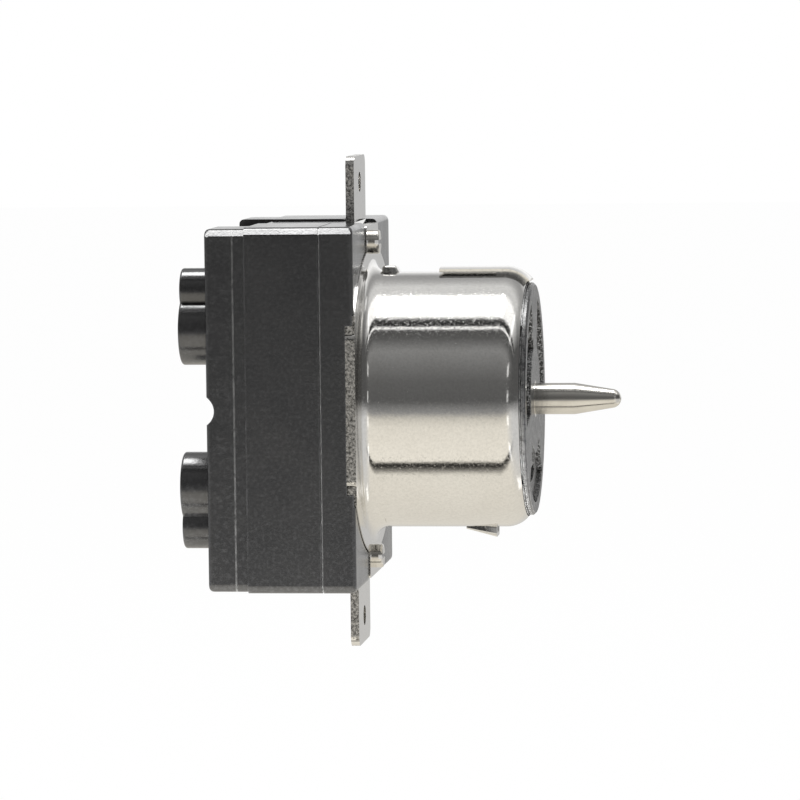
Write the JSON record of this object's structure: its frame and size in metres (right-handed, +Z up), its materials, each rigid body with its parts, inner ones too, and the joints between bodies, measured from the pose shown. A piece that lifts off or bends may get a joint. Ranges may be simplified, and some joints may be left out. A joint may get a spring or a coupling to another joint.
{
  "type": "locking flush receptacle",
  "caption": "Flush locking power receptacle: black moulded body, nickel-plated ground shell, guide pin, curved blade slots and a mounting strap with ears",
  "frame": {"origin": "on the shell's axis, in the plane of the ears' back faces", "axes": "+X towards the plug, +Z up along the two ears"},
  "size_m": [0.0808, 0.06, 0.0934],
  "materials": {
    "black_moulding": "black moulded nylon, fairly glossy",
    "insert_moulding": "black moulded insulator, satin",
    "nickel_plate": "bright nickel plate on drawn steel, faint orange peel",
    "bright_steel": "bright turned steel",
    "spring_steel": "tempered steel strip",
    "contact_bronze": "formed bronze strip",
    "terminal_brass": "extruded brass",
    "terminal_screw_steel": "zinc plated steel"
  },
  "bodies": {
    "receptacle": {"housing": "black_moulding", "back_cover": "black_moulding", "face_insert": "insert_moulding", "ground_shell": "nickel_plate", "mounting_strap": "nickel_plate", "guide_pin": "bright_steel", "pin_washer": "bright_steel", "pin_nut": "bright_steel", "plate_screws": "bright_steel", "cover_screws": "bright_steel", "line_x_spring": "spring_steel", "line_y_spring": "spring_steel", "neutral_spring": "spring_steel", "line_x_contact": "contact_bronze", "line_y_contact": "contact_bronze", "neutral_contact": "contact_bronze", "ground_strip": "contact_bronze", "bond_rivet": "contact_bronze", "line_x_terminal": "terminal_brass", "line_y_terminal": "terminal_brass", "neutral_terminal": "terminal_brass", "ground_terminal": "terminal_brass"},
    "line_x_screw": {"line_x_screw": "terminal_screw_steel"},
    "line_x_clamp": {"line_x_clamp": "terminal_brass"},
    "line_y_screw": {"line_y_screw": "terminal_screw_steel"},
    "line_y_clamp": {"line_y_clamp": "terminal_brass"},
    "neutral_screw": {"neutral_screw": "terminal_screw_steel"},
    "neutral_clamp": {"neutral_clamp": "terminal_brass"},
    "ground_screw": {"ground_screw": "terminal_screw_steel"},
    "ground_clamp": {"ground_clamp": "terminal_brass"}
  },
  "joints": [
    {"name": "line_x_screw_turn", "type": "hinge", "parent": "receptacle", "child": "line_x_screw", "pos_m": [-0.0125, -0.022, 0.0222], "axis": [1, 0, 0], "range_deg": [0, 1576]},
    {"name": "line_x_clamp_slide", "type": "slide", "parent": "receptacle", "child": "line_x_clamp", "axis": [-1, 0, 0], "range_m": [0, 0.0035]},
    {"name": "line_y_screw_turn", "type": "hinge", "parent": "receptacle", "child": "line_y_screw", "pos_m": [-0.0125, 0.022, 0.0222], "axis": [1, 0, 0], "range_deg": [0, 1576]},
    {"name": "line_y_clamp_slide", "type": "slide", "parent": "receptacle", "child": "line_y_clamp", "axis": [-1, 0, 0], "range_m": [0, 0.0035]},
    {"name": "neutral_screw_turn", "type": "hinge", "parent": "receptacle", "child": "neutral_screw", "pos_m": [-0.0125, -0.022, -0.0222], "axis": [1, 0, 0], "range_deg": [0, 1576]},
    {"name": "neutral_clamp_slide", "type": "slide", "parent": "receptacle", "child": "neutral_clamp", "axis": [-1, 0, 0], "range_m": [0, 0.0035]},
    {"name": "ground_screw_turn", "type": "hinge", "parent": "receptacle", "child": "ground_screw", "pos_m": [-0.0125, 0.022, -0.0222], "axis": [1, 0, 0], "range_deg": [0, 1576]},
    {"name": "ground_clamp_slide", "type": "slide", "parent": "receptacle", "child": "ground_clamp", "axis": [-1, 0, 0], "range_m": [0, 0.0035]}
  ],
  "couplings": [
    {"joint": "line_x_screw_turn", "follows": "line_x_clamp_slide", "rad_per_m": 7854},
    {"joint": "line_y_screw_turn", "follows": "line_y_clamp_slide", "rad_per_m": 7854},
    {"joint": "neutral_screw_turn", "follows": "neutral_clamp_slide", "rad_per_m": 7854},
    {"joint": "ground_screw_turn", "follows": "ground_clamp_slide", "rad_per_m": 7854}
  ]
}
